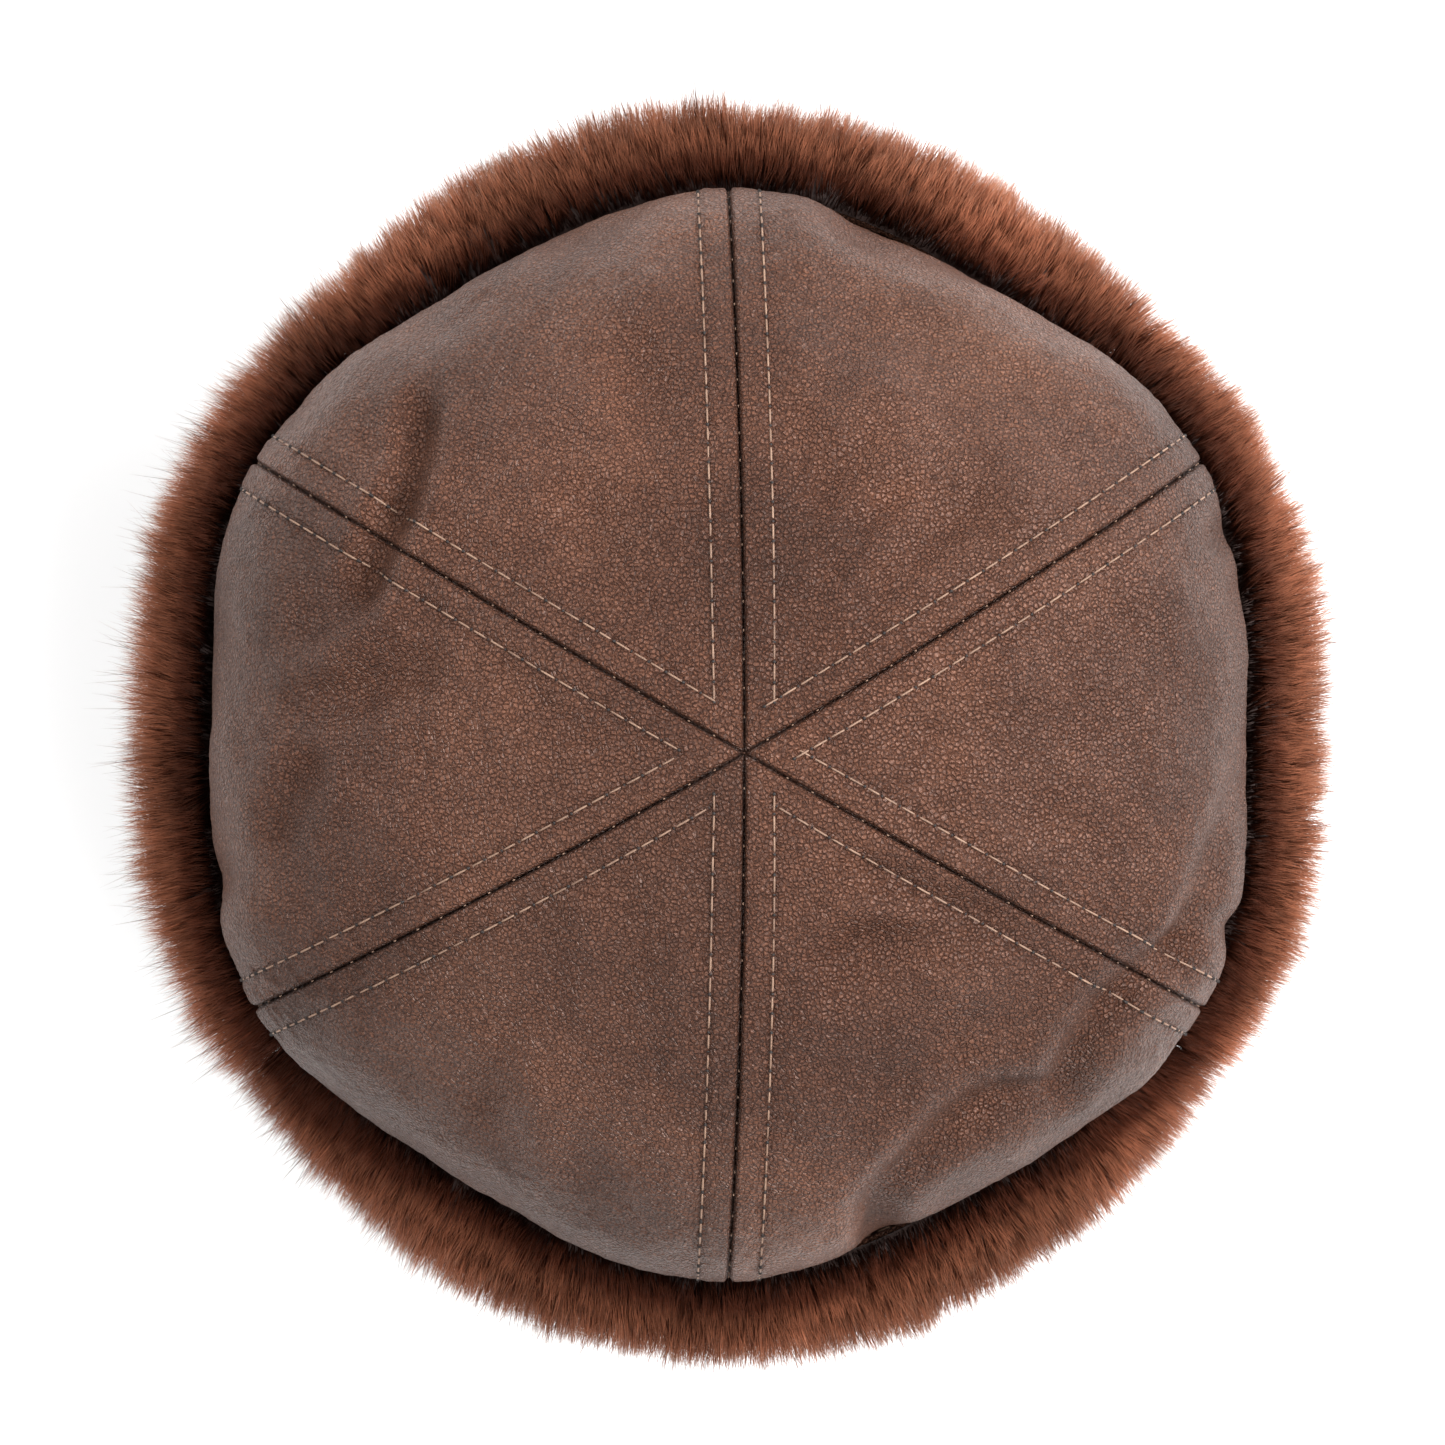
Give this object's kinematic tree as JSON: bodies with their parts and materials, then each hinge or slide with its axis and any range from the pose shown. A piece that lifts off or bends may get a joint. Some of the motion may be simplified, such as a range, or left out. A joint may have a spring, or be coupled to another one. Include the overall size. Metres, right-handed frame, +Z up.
{
  "type": "trapper hat",
  "caption": "Leather trapper hat with a panelled dome crown and a deep fur visor, ear flaps and neck flap, all folded up against the crown.",
  "frame": {"origin": "centre of the hat at the plane its rim rests on", "axes": "+Z up through the crown, -Y toward the front (visor), +X toward the wearer's left"},
  "size_m": [0.2468, 0.2584, 0.138],
  "materials": {
    "crown_leather": "pebble grain, satin, mottled brown",
    "flap_leather": "pebble grain, satin brown",
    "pile": "deep clumped pile, chestnut with lighter tips",
    "lining": "quilted satin",
    "sweatband": "ribbed cloth",
    "batting": "loose wadding",
    "board": "stiff board",
    "snap_brass": "antique, satin",
    "label": "woven, blank"
  },
  "bodies": {
    "root": {"crown_panel_left": "crown_leather", "crown_panel_back_left": "crown_leather", "crown_panel_back_right": "crown_leather", "crown_panel_right": "crown_leather", "crown_panel_front_right": "crown_leather", "crown_panel_front_left": "crown_leather", "lining_panel_left": "lining", "lining_panel_back_left": "lining", "lining_panel_back_right": "lining", "lining_panel_right": "lining", "lining_panel_front_right": "lining", "lining_panel_front_left": "lining", "crown_batting": "batting", "rim_binding": "crown_leather", "sweatband": "sweatband", "blank_label": "label", "left_snap_stud": "snap_brass", "left_snap_washer": "snap_brass", "right_snap_stud": "snap_brass", "right_snap_washer": "snap_brass"},
    "visor": {"visor_leather": "flap_leather", "visor_board": "board", "visor_fur": "pile"},
    "left_ear": {"left_ear_leather": "flap_leather", "left_ear_fur": "pile", "left_snap_socket": "snap_brass", "left_snap_cap": "snap_brass"},
    "right_ear": {"right_ear_leather": "flap_leather", "right_ear_fur": "pile", "right_snap_socket": "snap_brass", "right_snap_cap": "snap_brass"},
    "neck": {"neck_leather": "flap_leather", "neck_fur": "pile"}
  },
  "joints": [
    {"name": "visor_fold", "type": "hinge", "parent": "root", "child": "visor", "pos_m": [0, -0.1038, 0], "axis": [1, 0, 0], "range_deg": [0, 120]},
    {"name": "left_ear_fold", "type": "hinge", "parent": "root", "child": "left_ear", "pos_m": [0.0938, 0, 0], "axis": [0, 1, 0], "range_deg": [0, 170]},
    {"name": "right_ear_fold", "type": "hinge", "parent": "root", "child": "right_ear", "pos_m": [-0.0938, 0, 0], "axis": [0, -1, 0], "range_deg": [0, 170]},
    {"name": "neck_fold", "type": "hinge", "parent": "root", "child": "neck", "pos_m": [0, 0.1038, 0], "axis": [-1, 0, 0], "range_deg": [0, 165]}
  ]
}
